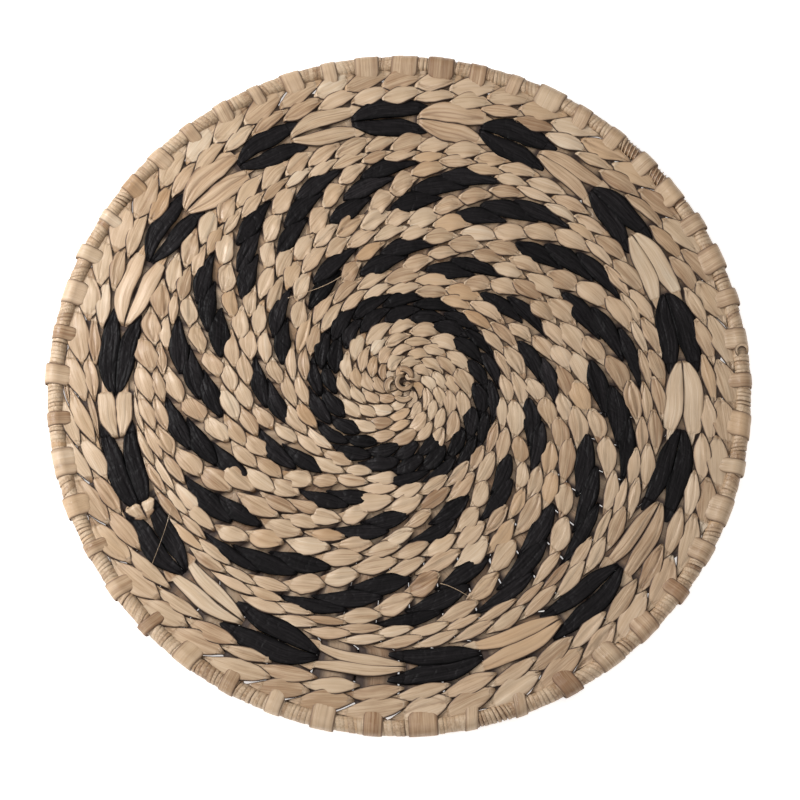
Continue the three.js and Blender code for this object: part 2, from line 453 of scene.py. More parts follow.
def arm_edges(petal, spread):
    """The same for an arm of an arrow, which lies along the other arm and parts from it at a notch."""
    rounded = np.minimum(petal / ARM_ROUNDED, 1)
    far = ARM_WIDTH * spread * np.sin(math.pi / 2 * rounded) ** 0.85
    far = far - (far - ARM_TIP) * np.clip((petal - ARM_NARROWS) / (1 - ARM_NARROWS), 0, 1) ** 2
    near = ARM_TIP * np.clip((petal - NOTCH_STARTS) / (1 - NOTCH_STARTS), 0, 1) ** 1.3
    return near - 0.5, far - 0.5


def petal_height(petal):
    """Height of a strand along its petal, from -1 under the spokes to 1 over them."""
    up = smooth(petal / COMES_UP)
    sunk = (1 - SUNK) * smooth((petal - SINKS) / (DIVES - SINKS))
    dive = (1 + SUNK) * smooth((petal - DIVES) / (1 - DIVES))
    return -1 + 2 * up - sunk - dive


def creased(across, height, float_number, done, look, random):
    """Height of the strip's surface at each ring and point of its section, as a share of its
    thickness, and how deep in a crease it is. Each float has its own creases, which run
    lengthwise and draw together at its ends, and the edges of its plies."""
    floats = float_number.max() + 1

    def each(drawn):
        """What was drawn for each float, at each ring."""
        return drawn[float_number][:, None]

    swell = np.sin(math.pi * done)[:, None] ** 0.5
    result = np.broadcast_to(height, (len(done), len(height))).copy()
    middle = done[:, None] - 0.5
    crease = np.zeros(result.shape)
    wrinkled = each(0.4 + 2.4 * random.uniform(0, 1, floats) ** 3)
    for _ in range(look.grooves):
        place = each(random.uniform(-0.85, 0.85, floats))
        lean = each(random.normal(0, 0.25, floats))
        depth = each(random.uniform(0, 1, floats) ** 1.5)
        spread = look.breadth * each(random.uniform(0.5, 1.5, floats))
        away = np.abs(across[None, :] - place * swell - lean * middle) / spread
        crease += wrinkled * depth * (1.3 - 0.7 * swell) * np.exp(-away)
    result -= height * look.depth * crease
    for _ in range(look.plies):
        place = each(random.uniform(-0.6, 0.6, floats))
        lean = each(random.normal(0, 0.4, floats))
        rise = each(look.ply_depth * random.normal(0, 1, floats))
        away = (across[None, :] - place - lean * middle) / PLY_EDGE
        result += height * rise * swell * 0.5 * np.tanh(away)
    waves = each(random.uniform(8, 14, floats))
    gather = GATHER * np.cos(waves * across[None, :] + waves) * (1 - swell)
    return result + height * gather, np.clip(crease, 0, 1)


def plain_strip(done, random):
    """The places across a strip that's one float long, its surface there and its creases."""
    across, height = strip_outline(24)
    float_number = np.zeros(len(done), int)
    surface, crease = creased(across, height, float_number, done, LOOKS["natural"], random)
    return across[None, :], surface, crease


def ragged_edge(done, float_number, amount, random):
    """A strip's half-width, as a share of what it would be, wavering along each float."""
    floats = float_number.max() + 1
    result = np.zeros(len(done))
    for waves in (2, 3, 5):
        phase = random.uniform(0, TAU, floats)[float_number]
        size = amount * random.uniform(0, 1, floats)[float_number]
        result += size * np.sin(waves * math.pi * done + phase)
    return 1 + result * np.sin(math.pi * done)


def float_rings(places):
    """The number of the float at each ring of a strand, how much of it is done, and the step."""
    lengths = np.diff(places)
    counts = np.maximum(np.rint(lengths * RINGS_PER_SPOKE).astype(int), RINGS_PER_SPOKE)
    float_number = np.append(np.repeat(np.arange(len(counts)), counts), len(counts) - 1)
    done = np.append(np.concatenate([np.arange(n) / n for n in counts]), 1.0)
    return float_number, done, places[float_number] + done * lengths[float_number]


def strand_surface(half, thick, float_number, done, look, random):
    """Places across a strand and over it, and how deep in a crease each is."""
    across, height = strip_outline(SECTION_POINTS)
    outer_edge = ragged_edge(done, float_number, look.ragged, random)
    inner_edge = ragged_edge(done, float_number, look.ragged, random)
    side_scale = np.where(across[None, :] > 0, outer_edge[:, None], inner_edge[:, None])
    x = half[:, None] * across[None, :] * side_scale
    surface, crease = creased(across, height, float_number, done, look, random)
    return x, thick[:, None] * surface, crease


def strand_mesh(name, number, row, strand, look, seed, limits):
    """One strand of a band's row. Its partner is the same with the other value of strand."""
    places = crossings(number, limits, np.random.default_rng(seed))
    random = np.random.default_rng([seed, strand])
    float_number, done, step = float_rings(places)
    floats = len(places) - 1
    turns = turns_at(number, step)
    twist = -1.0 if row == 0 and BANDS[number].rows == 2 else 1.0

    middle, width = lane(number, turns, row)
    width = np.maximum(width, LEAST_WIDTH)
    angle = turned(turns, middle)
    spoke_length = np.gradient(-angle, step) * middle
    size = np.minimum(1.0, spoke_length / FULL_SPACING) ** 0.5
    size = size * np.minimum(1.0, width / FULL_WIDTH) ** 0.5
    vary = np.clip(random.normal(0, 1, (5, floats)), -1.8, 1.8)[:, float_number]
    wander, _, breadth, body, roll = vary

    edges, trail = (arm_edges, ARM_TRAIL) if number == CHEVRON else (petal_edges, TRAIL)
    petal, hidden = petal_places(places, strand, step, trail)
    low_edge, high_edge = edges(petal, look.width + look.width_spread * breadth)
    reach = np.maximum((high_edge - low_edge) / 2, TIP_HALF)
    half = width * (reach + (HIDDEN_HALF - TIP_HALF) * np.sin(math.pi * hidden))
    start, end = (float(sum(edges(np.array(place), 1.0)) / 2) for place in (0.0, 1.0))
    sidestep = (low_edge + high_edge) / 2 + (start - end) * smooth(hidden)
    swell = np.sin(math.pi * done)
    sidestep = sidestep + WANDER * wander * swell
    radius = middle + twist * sidestep * width
    level = petal_height(petal)
    rise = LIFT * size * level
    thick = STRIP_HALF_THICKNESS * size * (0.8 + 0.2 * swell) * (1 + THICKNESS_SPREAD * body)
    bank = twist * BANK * np.sin(TAU * done) + ROLL * roll * swell

    centre = points_at(angle, radius, rise)
    along = length_along(centre)
    tip = smooth(np.minimum(along, along[-1] - along) / TIP_LENGTH)
    half = half * (TIP_WIDTH + (1 - TIP_WIDTH) * tip)
    thick = thick * (TIP_THICKNESS + (1 - TIP_THICKNESS) * tip)
    centre[:, 2] -= (1 - tip) * (TIP_DIP * LIFT + np.maximum(rise, 0))

    x, z, crease = strand_surface(half, thick, float_number, done, look, random)
    out = outwards(angle)
    lateral = out * np.cos(bank)[:, None] + UP * np.sin(bank)[:, None]
    normal = UP * np.cos(bank)[:, None] - out * np.sin(bank)[:, None]
    shade, tint = random.normal(0, 1, (2, floats))[:, float_number]
    # Painted shade where the strand lies near the mid plane, diving between the spokes under its
    # partner
    painted_shade = 1 - smooth(np.abs(level) / SHADED)
    values = {"shade": shade, "tint": tint, "painted_shade": painted_shade, "crease": crease}
    return sweep_strip(name, centre, lateral, normal, x, z, values)


def strand_names(band, row):
    """Names of a row's two strands in the frame."""
    row_name = "" if band.rows == 1 else ("_inner", "_outer")[row]
    if band.strands[0] == band.strands[1]:
        return [f"{band.name}{row_name}_strand_{letter}" for letter in "ab"]
    return [f"{band.name}{row_name}_{kind}_strand" for kind in band.strands]


# Fibres that have come loose and lie on the weave: the piece each belongs to, where its middle is in
# degrees and as a share of the pad's radius, its length, and its lean from the strands.
Stray = namedtuple("Stray", "piece angle radius length lean")
STRAYS = (
    Stray("inner_check_natural_strand", 128, 0.385, 34 * MM, 0.25),
    Stray("chevron_inner_natural_strand", 213, 0.80, 22 * MM, 1.2),
    Stray("outer_check_natural_strand", 285, 0.62, 16 * MM, 0.9),
)
STRAY_RADIUS = 0.17 * MM
STRAY_CLEARANCE = 1.2 * MM  # over the strands, at its middle
STRAY_FALL = 9 * MM  # how steeply its ends come down
STRAY_BEND = 0.5


def stray_mesh(stray):
    """A thin fibre that arches over the strands from end to end."""
    done = np.linspace(-0.5, 0.5, 40)
    angle = math.radians(stray.angle) + stray.length * done / (stray.radius * RADIUS)
    bow = stray.length * (stray.lean * done + STRAY_BEND * done**2 - 0.1)
    height = LIFT + STRIP_HALF_THICKNESS + STRAY_CLEARANCE - STRAY_FALL * done**4
    centre = points_at(angle, stray.radius * RADIUS + bow, height)
    around = np.linspace(0, TAU, 8, endpoint=False)
    x = STRAY_RADIUS * np.broadcast_to(np.cos(around), (len(done), len(around)))
    z = STRAY_RADIUS * np.broadcast_to(np.sin(around), x.shape)
    values = {"shade": 1.5, "tint": 1.5, "painted_shade": 0.0, "edge": 0.0, "aside": 0.0}
    return sweep_strip("stray", centre, outwards(angle), np.tile(UP, (len(done), 1)), x, z, values)


def add_weave(materials):
    for number, band in enumerate(BANDS):
        for row in range(band.rows):
            for strand, name in enumerate(strand_names(band, row)):
                kind = band.strands[strand]
                seed = WEAVE_SEED + 10 * number
                look = LOOKS[f"{kind}_arm" if number == CHEVRON else kind]
                mesh = strand_mesh(name, number, row, strand, look, seed, step_range(number))
                loose = [stray_mesh(stray) for stray in STRAYS if stray.piece == name]
                add_piece(name, [mesh, *loose], materials[kind], f"{kind}_strand", name)


# Bent strips: each one's middle from the spiral's centre, its radius, its height over the mid plane
# and its half-width, in millimetres, and the angles where it starts and ends, in degrees. These cross
# over each other in the middle of the knot.
Coil = namedtuple("Coil", "x y bend height half start end")
COILS = (
    Coil(1.6, 1.2, 4.0, 3.3, 1.5, 60, 390),
    Coil(-3.4, -1.0, 4.4, 2.9, 2.0, 70, 250),
    Coil(1.0, -3.6, 5.0, 2.7, 2.0, 190, 350),
    Coil(0.6, 4.0, 4.8, 2.7, 1.9, -30, 140),
    Coil(1.2, -0.4, 1.9, 2.9, 1.1, 150, 420),
)
COIL_HALF_THICKNESS = 0.9 * MM
COIL_ENDS = 0.25  # the share of a coil in which it goes down at each end
COIL_END_HEIGHT = -1.0  # in millimetres


def add_knot(materials):
    """The start of the spiral: its first, tight turns round a few coiled strips."""
    meshes = [
        strand_mesh("knot", 0, 0, strand, LOOKS["natural"], KNOT_SEED, KNOT_STEPS)
        for strand in (0, 1)
    ]
    meshes += [coil_mesh(coil, COIL_SEED + number) for number, coil in enumerate(COILS)]
    add_piece("centre_knot", meshes, materials["natural"], "natural_strand", "centre_knot")


def coil_mesh(coil, seed):
    """A short strip bent round an upright axis, with both its ends tucked down."""
    random = np.random.default_rng(seed)
    done = np.linspace(0, 1, 48)
    angle = np.radians(np.interp(done, (0, 1), (coil.start, coil.end)))
    out = outwards(angle)
    middle = np.array([OFF_CENTRE[0] + coil.x * MM, OFF_CENTRE[1] + coil.y * MM, MID])
    risen = smooth(np.minimum(done, 1 - done) / COIL_ENDS)
    height = (coil.height * risen + COIL_END_HEIGHT * (1 - risen)) * MM
    centre = middle + out * coil.bend * MM + UP * height[:, None]
    half = coil.half * MM * (0.3 + 0.7 * np.sin(math.pi * done) ** 0.6)
    across, surface, crease = plain_strip(done, random)
    x = half[:, None] * across
    z = COIL_HALF_THICKNESS * surface
    # Painted shade on the ends, where they go down under the strands
    painted_shade = 0.9 * (1 - risen)
    values = {"shade": random.normal(0, 1), "tint": 0.5, "painted_shade": painted_shade, "crease": crease}
    return sweep_strip("coil", centre, out, np.tile(UP, (len(done), 1)), x, z, values)


# ---- spokes and tabs

SPOKE_GROUPS = (0, 1, 2, 3, 5, 7)  # the bands where the number of spokes changes
CENTRE_SPOKES = 16
CENTRE_START = 0.3 * MM  # radius where the spokes of the centre start
JOINT_GAP = 2 * MM  # from a group's edge to the nearest point of a spoke's route
HANDICAP = 0.02  # in radians, of a laid-in spoke against one from the centre

# A spoke fills the room between its neighbours, with a light middle and flanks darkened with painted
# shade beside the strands over it. Nearer the rim it narrows to its tab, with a waist where the last
# course grips it.
SPOKE_SHARE = 0.54  # of its spacing, that it reaches to each side, so it overlaps its neighbours
LIGHT_WIDTH = 8 * MM  # of its middle
FLANK = 2 * MM  # in which painted shade darkens it beside that
SPOKE_STEP = 3 * MM  # between its rings
NARROWS_FROM = 10 * MM  # inwards from the edge of the weave, as are the next two
TAB_STARTS = 9 * MM
WAIST_PLACE = 5 * MM
NARROWS_WITHIN = 6 * MM
WAIST_LENGTH = 1.6 * MM
WAIST_DEPTH = 0.35  # of its width
SPOKE_PAINTED_SHADE = 0.38  # how much painted shade darkens it under the strands
CROWDED_PAINTED_SHADE = 0.52  # how much more painted shade it has near the centre, within the next radius
CROWDED_RADIUS = 45 * MM
CROWDED_WITHIN = 30 * MM  # in which it gets to that

# A tab rises from the weave, by these places out from its edge and up, in millimetres. Then it goes
# over the rim and back under it.
TAB_LEAD = ((-8, 0.1), (-6, 0.9), (-4.6, 1.9), (-3.4, 2.6), (-1.6, 3.1))
TAB_ANGLES = (124, -160)  # round the core, in degrees
TAB_GAP = 0.12 * MM  # over the binding
TAB_PROUD = 1.3  # in millimetres, how far the loosest tab stands out
PROUD_WITHIN = 6 * MM  # out from the weave, in which it does
TAB_LEAN = 0.08  # sideways, in radians
TAB_BULGE = (0.1, 0.5)  # in millimetres, of its middle over its edges
TAB_EDGE = 0.5  # how dark painted shade makes its edges


def spokes_in(number):
    return CENTRE_SPOKES if number == 0 else BANDS[number].spokes


def spoke_angles(group, radius):
    """Angles of all the spokes of a group of bands at a radius."""
    number = SPOKE_GROUPS[group]
    count = spokes_in(number)
    return turned((np.arange(count) + BANDS[number].shift) / count, radius)


def spoke_chains():
    """For each spoke, its number in each group of bands, or None where there's none of it. It goes
    on as the nearest spoke of the next group, and others are laid in between."""
    chains = [[i] for i in range(CENTRE_SPOKES)]
    for group in range(1, len(SPOKE_GROUPS)):
        radius = BANDS[SPOKE_GROUPS[group]].start * RADIUS
        before = spoke_angles(group - 1, radius)
        after = spoke_angles(group, radius)
        pairs = []
        for place, chain in enumerate(chains):
            if chain[-1] is None:
                continue
            away = np.abs((after - before[chain[-1]] + math.pi) % TAU - math.pi)
            handicap = HANDICAP if chain[0] is None else 0.0
            pairs += [(away[index] + handicap, place, index) for index in range(len(after))]
        matched = {}
        for _, place, index in sorted(pairs):
            if place not in matched and index not in matched.values():
                matched[place] = index
        chains = [[*chain, matched.get(place)] for place, chain in enumerate(chains)]
        laid_in = [index for index in range(len(after)) if index not in matched.values()]
        chains += [[None] * group + [index] for index in laid_in]
    return chains


def group_radius(group, share):
    """Radius where a group of bands starts, at this share of a turn past the first spoke."""
    if group == len(SPOKE_GROUPS):
        return WEAVE_RADIUS
    number = SPOKE_GROUPS[group]
    middle, width = lane(number, share + math.ceil(STARTS[number] - share))
    return float(middle - width / 2)


def spoke_route(chain):
    """Radii and turns of a spoke's centreline, and the room to its neighbours at each radius."""
    radii, turns, spacing = [], [], []
    for group, index in enumerate(chain):
        if index is None:
            continue
        number = SPOKE_GROUPS[group]
        share = (index + BANDS[number].shift) / spokes_in(number)
        if group == 0:
            begin = CENTRE_START
        else:
            begin = group_radius(group, share) + (JOINT_GAP if radii else -JOINT_GAP)
        for radius in (begin, group_radius(group + 1, share) - JOINT_GAP):
            radii.append(radius)
            if turns:
                share += round(turns[-1] - share)
            turns.append(share)
            spacing.append(TAU * radius / spokes_in(number))
    return np.array(radii), np.array(turns), np.array(spacing)


def tab_section():
    """Route of a spoke's end over the rim and back under it, as radius and height over the mid
    plane, from the edge of the weave."""
    over = BINDING_RADIUS + TAB_GAP
    round_rim = np.radians(np.linspace(*TAB_ANGLES, 26))
    rim = np.stack([RIM_RADIUS + over * np.cos(round_rim), over * np.sin(round_rim)], axis=-1)
    lead = MM * np.array(TAB_LEAD)
    lead[:, 0] += WEAVE_RADIUS
    return np.concatenate([lead, rim])


def spoke_half(inside, room, tab_half, on_tab):
    """Half-width of a spoke, from its radius as far as the rim and the room it has there."""
    half = SPOKE_SHARE * room
    narrowing = smooth((inside - WEAVE_RADIUS + NARROWS_FROM) / NARROWS_WITHIN)
    half = half + (tab_half - half) * narrowing
    half = half + (tab_half - half) * on_tab
    from_waist = (inside - WEAVE_RADIUS + WAIST_PLACE) / WAIST_LENGTH
    return half * (1 - WAIST_DEPTH * np.exp(-(from_waist**2)))


def spoke_shading(x, radius, on_tab):
    """Painted shade on a spoke: how dark it is towards its sides, and in the shade of the strands."""
    flank = smooth((np.abs(x) - LIGHT_WIDTH / 2) / FLANK)
    edge = np.maximum(flank * (1 - on_tab)[:, None], TAB_EDGE * edge_of(x) * on_tab[:, None])
    crowded = smooth((CROWDED_RADIUS - radius) / CROWDED_WITHIN)
    return {"edge": edge, "painted_shade": (SPOKE_PAINTED_SHADE + CROWDED_PAINTED_SHADE * crowded) * (1 - on_tab)}


def spoke_mesh(name, chain, seed):
    """A spoke: a flat strip from the centre or from where it was laid in, with its tab."""
    random = np.random.default_rng(seed)
    radii, turns, spacing = spoke_route(chain)
    has_tab = chain[-1] is not None
    straight_end = WEAVE_RADIUS - TAB_STARTS if has_tab else radii[-1]
    straight = np.arange(radii[0], straight_end, SPOKE_STEP)
    tab = tab_section() if has_tab else np.zeros((0, 2))
    tab_half = TAB_WIDTH / 2 * random.uniform(*TAB_SPREAD)
    proud = random.uniform(-0.2, 1.0) ** 3 * TAB_PROUD * MM
    lean = random.normal(0, TAB_LEAN)
    bulge = random.uniform(*TAB_BULGE) * MM

    tab_radius = tab[:, 0] + proud * smooth((tab[:, 0] - WEAVE_RADIUS) / PROUD_WITHIN)
    radius = np.concatenate([straight, tab_radius])
    height = np.concatenate([np.zeros(len(straight)), tab[:, 1]])
    on_tab = np.concatenate([np.zeros(len(straight)), smooth(np.arange(len(tab)) / 5)])
    inside = np.minimum(radius, radii[-1])
    angle = turned(np.interp(inside, radii, turns), inside)
    angle = angle + lean * on_tab * (radius - WEAVE_RADIUS) / RADIUS
    half = spoke_half(inside, np.interp(inside, radii, spacing), tab_half, on_tab)
    thick = SPOKE_HALF_THICKNESS + (TAB_HALF_THICKNESS - SPOKE_HALF_THICKNESS) * on_tab

    forward = direction(np.stack([radius, height], axis=-1))
    out = outwards(angle)
    side = outwards(angle - math.pi / 2)
    centre = points_at(angle, radius, height)
    normal = UP * forward[:, :1] - out * forward[:, 1:]

    across, surface, crease = plain_strip(np.linspace(0.15, 0.85, len(radius)), random)
    x = half[:, None] * across
    on_top = np.clip(0.2 + height / BINDING_RADIUS, 0, 1)
    arch = bulge * (on_tab * on_top)[:, None] * (1 - across**2)
    z = thick[:, None] * surface + arch
    shade, tint = random.normal(0, 1, 2)
    values = {"shade": shade, "tint": tint, "crease": crease, **spoke_shading(x, radius, on_tab)}
    return sweep_strip(name, centre, side, normal, x, z, values)


def node_angle(name):
    low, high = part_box(name)
    return math.atan2(low[1] + high[1], low[0] + high[0]) % TAU


def share_out(chains, kind):
    """Pairs each CAD spoke of a kind with the spokes of the pad that lie nearest in order."""
    nodes = [f"{kind}_spoke_{number:02d}" for number in range(1, CENTRE_SPOKES + 1)]
    nodes.sort(key=node_angle)

    def outer_angle(chain):
        group = max(place for place, index in enumerate(chain) if index is not None)
        return spoke_angles(group, RADIUS)[chain[group]] % TAU

    ordered = sorted(chains, key=outer_angle)
    groups = np.array_split(np.arange(len(ordered)), len(nodes))
    return {node: [ordered[i] for i in group] for node, group in zip(nodes, groups)}


def add_spokes(materials):
    """The spokes from the centre, and those that were laid in between them further out."""
    chains = spoke_chains()
    seeds = {id(chain): SPOKE_SEED + place for place, chain in enumerate(chains)}
    for kind in ("main", "added"):
        members = [chain for chain in chains if (chain[0] is None) == (kind == "added")]
        for name, group in share_out(members, kind).items():
            meshes = [spoke_mesh(name, chain, seeds[id(chain)]) for chain in group]
            add_piece(name, meshes, materials["spoke"], "spoke_strip", name)


# ---- the rim

CORE_INSET = 0.7 * MM  # from the outside of the binding
CORE_LUMPS = 0.05  # of its radius

WRAPS = 520
WRAP_HALF_WIDTH = 1.45 * MM
WRAP_SPREAD = 0.4  # of its width
WRAP_HALF_THICKNESS = 0.38 * MM
WRAP_INSET = 0.4 * MM  # of its centreline
WRAP_LAYER = 0.22 * MM  # how far one wrap may lie over or under the next
WRAP_EDGE = 0.4  # how dark painted shade makes its edges
SLANT = 2.0 * MM  # of a wrap's outside along the rim, at most
SLANT_GROUP = 8  # wraps from one change of slant to the next
UNEVEN = 0.0012  # in radians, how far wraps crowd together or spread
BARE = (math.radians(33), math.radians(49))  # where the wraps are worn
BARE_END = 0.02  # in radians, over which that starts and stops
BARE_SHARE = 0.75  # of a wrap's width, that's gone there

# A loose end of the binding that curls up on the rim, at 6 degrees
CURL = Coil(183.6, 18.5, 3.0, 5.0, 0.9, -60, 290)


def add_rim(materials):
    add_piece("rim_core_cord", [core_mesh()], materials["core"], "core_cord", "rim_core_cord")
    meshes = [binding_mesh(), coil_mesh(CURL, CURL_SEED)]
    add_piece("rim_binding", meshes, materials["binding"], "binding_strip", "rim_binding")


def core_mesh():
    """The bundle of strips inside the rim, which shows as six twisted lumps."""
    rings, points = 600, 24
    angle = np.linspace(0, TAU * (1 - 1 / rings), rings)
    around = np.linspace(0, TAU, points, endpoint=False)
    lumps = CORE_LUMPS * np.sin(6 * around[None, :] + 40 * angle[:, None])
    radius = (BINDING_RADIUS - CORE_INSET) * (1 + lumps)
    out = outwards(angle)
    centre = out * RIM_RADIUS + UP * MID
    rim = centre[:, None, :] + (radius * np.cos(around))[..., None] * out[:, None, :]
    rim = rim + (radius * np.sin(around))[..., None] * UP
    uv = np.stack(np.broadcast_arrays((angle * RIM_RADIUS)[:, None], radius * around), axis=-1)
    shade = np.sin(7 * angle)[:, None]
    # A little painted shade, for the core lies under the binding
    values = {"shade": shade, "tint": shade, "painted_shade": 0.2}
    return swept_mesh("rim_core_cord", rim, uv, values)


def binding_mesh():
    """A thin strip wound round the core, at a slant that changes from one group to the next."""
    random = np.random.default_rng(BINDING_SEED)
    per_turn = 16
    wound = np.arange(WRAPS * per_turn) / per_turn

    def each(drawn):
        """What was drawn for each wrap, along the strip."""
        return np.interp(wound, np.arange(WRAPS + 1), drawn)

    groups = np.arange(0, WRAPS + 1, SLANT_GROUP)
    wander = np.cumsum(random.normal(0, 1, WRAPS + 1))
    wander -= np.linspace(wander[0], wander[-1], WRAPS + 1)
    around = -TAU * wound
    slant = SLANT * np.interp(wound, groups, random.uniform(-1, 1, len(groups)))
    angle = TAU * wound / WRAPS + UNEVEN * each(wander)
    angle = angle + slant * np.cos(around) / RIM_RADIUS
    layer = WRAP_LAYER * each(random.uniform(-1, 1, WRAPS + 1))
    out = outwards(angle)
    ray = out * np.cos(around)[:, None] + UP * np.sin(around)[:, None]
    radius = BINDING_RADIUS - WRAP_INSET + layer
    centre = out * RIM_RADIUS + UP * MID + ray * radius[:, None]
    across, height = strip_outline(10)
    half = WRAP_HALF_WIDTH * (1 + WRAP_SPREAD * each(random.uniform(-1, 1, WRAPS + 1)))
    bare = smooth((angle - BARE[0]) / BARE_END) * smooth((BARE[1] - angle) / BARE_END)
    half = half * (1 - BARE_SHARE * bare)
    x = half[:, None] * across[None, :]
    z = WRAP_HALF_THICKNESS * np.broadcast_to(height, x.shape)
    shade, tint = map(each, random.normal(0, 1, (2, WRAPS + 1)))
    # Painted shade along the wraps' edges
    edge = WRAP_EDGE * edge_of(x)
    values = {"shade": shade, "tint": tint, "painted_shade": 0.0, "crease": 0.0, "edge": edge}
    side = np.cross(ray, direction(centre))
    return sweep_strip("rim_binding", centre, side, ray, x, z, values)


# ---- materials


class Nodes:
    """Short names for making a material's nodes. An input takes a number, a colour or an output."""

    def __init__(self, name):
        self.material = bpy.data.materials.new(name)
        self.material.use_nodes = True
        self.tree = self.material.node_tree
        self.shader = self.tree.nodes["Principled BSDF"]

    def put(self, value, socket):
        if isinstance(value, (int, float, tuple)):
            socket.default_value = value
        else:
            self.tree.links.new(value, socket)

    def set(self, name, value):
        """Gives the surface's shader one of its inputs."""
        self.put(value, self.shader.inputs[name])

    def node(self, kind, inputs=(), **settings):
        """Adds a node. inputs holds its inputs by name or number."""
        made = self.tree.nodes.new(kind)
        for key, value in settings.items():
            setattr(made, key, value)
        for key, value in dict(inputs).items():
            self.put(value, made.inputs[key])
        return made

    def math(self, operation, *values):
        return self.node("ShaderNodeMath", enumerate(values), operation=operation).outputs[0]

    def total(self, *values):
        result = values[0]
        for value in values[1:]:
            result = self.math("ADD", result, value)
        return result

    def attribute(self, name):
        return self.node("ShaderNodeAttribute", attribute_name=name).outputs["Fac"]

    def place(self, along, across, seed):
        """The place on the strip, scaled, with a number that sets one float apart from the next."""
        strip = self.node("ShaderNodeUVMap", uv_map="strip").outputs[0]
        parts = self.node("ShaderNodeSeparateXYZ", {0: strip})
        scaled = (
            self.math("MULTIPLY", parts.outputs[0], along),
            self.math("MULTIPLY", parts.outputs[1], across),
            self.math("MULTIPLY", self.attribute("shade"), seed),
        )
        return self.node("ShaderNodeCombineXYZ", enumerate(scaled)).outputs[0]

    def noise(self, place, detail=3.0, roughness=0.55):
        inputs = {"Vector": place, "Scale": 1.0, "Detail": detail, "Roughness": roughness}
        return self.node("ShaderNodeTexNoise", inputs).outputs["Fac"]

    def ridges(self, value):
        """Sharp creases where a noise passes its middle: 0 in a crease, up to about 1 away from it."""
        away = self.math("ABSOLUTE", self.math("SUBTRACT", value, 0.5))
        return self.range(away, 0.0, 0.12, 0.0, 1.0)

    def ramp(self, value, *stops):
        made = self.node("ShaderNodeValToRGB", {0: value})
        elements = made.color_ramp.elements
        while len(elements) < len(stops):
            elements.new(0.5)
        for element, (position, colour) in zip(elements, stops):
            element.position = position
            element.color = (*colour, 1.0)
        return made.outputs["Color"]

    def mix(self, factor, first, second):
        inputs = {"Factor": factor, 6: first, 7: second}
        return self.node("ShaderNodeMix", inputs, data_type="RGBA").outputs[2]

    def range(self, value, low, high, to_low, to_high):
        inputs = enumerate((value, low, high, to_low, to_high))
        return self.node("ShaderNodeMapRange", inputs).outputs[0]

    def swing(self, noise, amount):
        """A noise, stretched to go from minus to plus this amount."""
        return self.range(noise, 0.3, 0.7, -amount, amount)

    def bump(self, height, strength, distance):
        inputs = {"Height": height, "Strength": strength, "Distance": distance}
        self.set("Normal", self.node("ShaderNodeBump", inputs).outputs[0])


# Colours of the strips, from their darkest tone to their lightest
WARM = (
    (0.0, (0.25, 0.125, 0.055)),
    (0.22, (0.36, 0.215, 0.115)),
    (0.5, (0.54, 0.37, 0.23)),
    (0.75, (0.60, 0.43, 0.285)),
    (1.0, (0.68, 0.54, 0.39)),
)
GREYISH = (
    (0.0, (0.24, 0.135, 0.065)),
    (0.22, (0.34, 0.225, 0.13)),
    (0.5, (0.52, 0.385, 0.25)),
    (0.75, (0.59, 0.455, 0.31)),
    (1.0, (0.68, 0.57, 0.43)),
)
DYED = (
    (0.0, (0.0006, 0.0005, 0.0006)),
    (0.5, (0.0115, 0.0098, 0.0104)),
    (1.0, (0.042, 0.036, 0.038)),
)
GOLDEN = (0.50, 0.30, 0.15, 1.0)  # of a few strips
PAINTED_SHADE_UNDER = (0.07, 0.030, 0.012, 1.0)  # painted shade, where a strip dives under another
# Painted shade on a strip's flanks, along its edges and in its creases
PAINTED_FLANK_SHADE = (0.26, 0.14, 0.07, 1.0)
PAINTED_EDGE_SHADE = (0.035, 0.014, 0.006, 1.0)
PAINTED_CREASE_SHADE = (0.22, 0.12, 0.06, 1.0)
# Painted shade on the flanks of the black strips
BLACK_FLANK_SHADE = (0.0, 0.0, 0.0, 1.0)


def natural_material(name, brown=0.0):
    """Dried husk strip: beige and satiny, with fine fibres along it and broad streaks of tone, and
    painted shade under other strips, on its flanks, along its edges and in its creases.
    """
    n = Nodes(name)
    fine = n.noise(n.place(60.0, 2600.0, 17.0), 3.0, 0.6)
    fibres = n.noise(n.place(40.0, 1000.0, 23.0), 4.0, 0.65)
    streaks = n.noise(n.place(16.0, 230.0, 31.0), 3.0)
    blotches = n.noise(n.place(60.0, 120.0, 5.0), 2.0)
    tone = n.total(
        n.math("MULTIPLY_ADD", n.attribute("shade"), 0.14, 0.48 - brown),
        n.swing(streaks, 0.13),
        n.swing(fibres, 0.17),
        n.swing(fine, 0.12),
        n.swing(blotches, 0.06),
    )
    greyness = n.range(n.attribute("tint"), -1.5, 1.5, 0.1, 0.7)
    colour = n.mix(greyness, n.ramp(tone, *WARM), n.ramp(tone, *GREYISH))
    colour = n.mix(n.range(n.attribute("tint"), 1.0, 2.2, 0.0, 0.6), colour, GOLDEN)
    # Painted shade where the strip lies low under other strips
    colour = n.mix(n.range(n.attribute("painted_shade"), 0.1, 0.9, 0.0, 0.95), colour, PAINTED_SHADE_UNDER)
    # Painted shade on its flanks
    colour = n.mix(n.range(n.attribute("aside"), 0.66, 1.0, 0.0, 0.45), colour, PAINTED_FLANK_SHADE)
    # Painted shade along its edges
    colour = n.mix(n.attribute("edge"), colour, PAINTED_EDGE_SHADE)
    # Painted shade in its creases
    creased_share = n.math("MULTIPLY", n.math("POWER", n.attribute("crease"), 2.0), 0.55)
    n.set("Base Color", n.mix(creased_share, colour, PAINTED_CREASE_SHADE))
    satin = n.range(fibres, 0.3, 0.7, 0.28, 0.44)
    matt = n.math("MULTIPLY", n.attribute("aside"), 0.35)
    roughness = n.math("ADD", satin, n.math("MULTIPLY", matt, n.attribute("aside")))
    n.set("Roughness", roughness)
    n.set("Specular IOR Level", 0.6)
    height = n.total(fibres, n.math("MULTIPLY", fine, 0.5), n.math("MULTIPLY", streaks, 1.5))
    n.bump(height, 0.7, 0.3 * MM)
    return n.material


